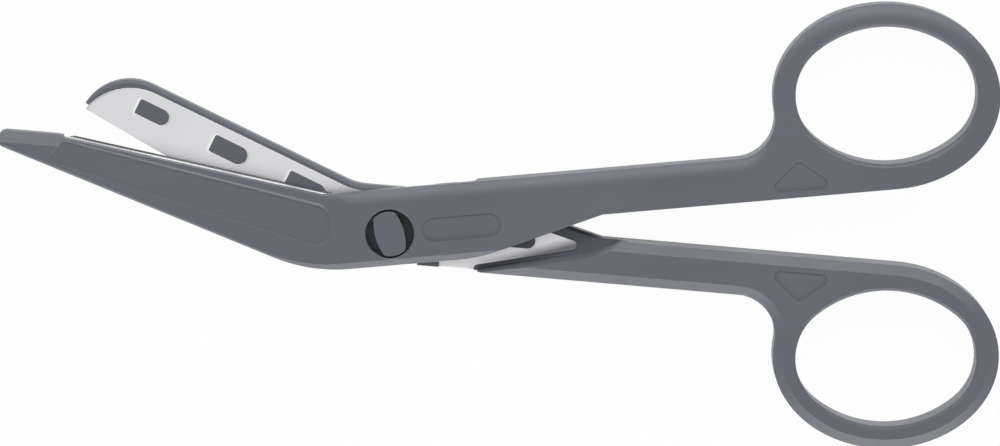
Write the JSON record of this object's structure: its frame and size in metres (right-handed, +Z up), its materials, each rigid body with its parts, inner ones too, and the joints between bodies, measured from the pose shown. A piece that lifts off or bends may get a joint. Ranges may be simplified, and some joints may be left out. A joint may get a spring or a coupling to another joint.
{
  "type": "bandage scissors",
  "caption": "Angled bandage scissors with grey moulded handles, oval finger rings, moulded-in steel blades, a pointed upper blade and a longer blunt probe blade, turning on a bayonet pivot.",
  "frame": {"origin": "on the pivot axis, at the underside that lies on a table", "axes": "+X along the length towards the finger rings, +Y towards the front half's ring, +Z up along the pivot axis"},
  "size_m": [0.1449, 0.0648, 0.006],
  "materials": {
    "moulding": "satin moulded, grey",
    "blade_steel": "satin stainless, ground cutting edge"
  },
  "bodies": {
    "back": {"back_half": "moulding", "back_blade": "blade_steel"},
    "front": {"front_half": "moulding", "front_blade": "blade_steel"}
  },
  "joints": [
    {"name": "pivot", "type": "hinge", "parent": "back", "child": "front", "pos_m": [0, 0, 0.003], "axis": [0, 0, 1], "range_deg": [-6.5, 60]}
  ]
}
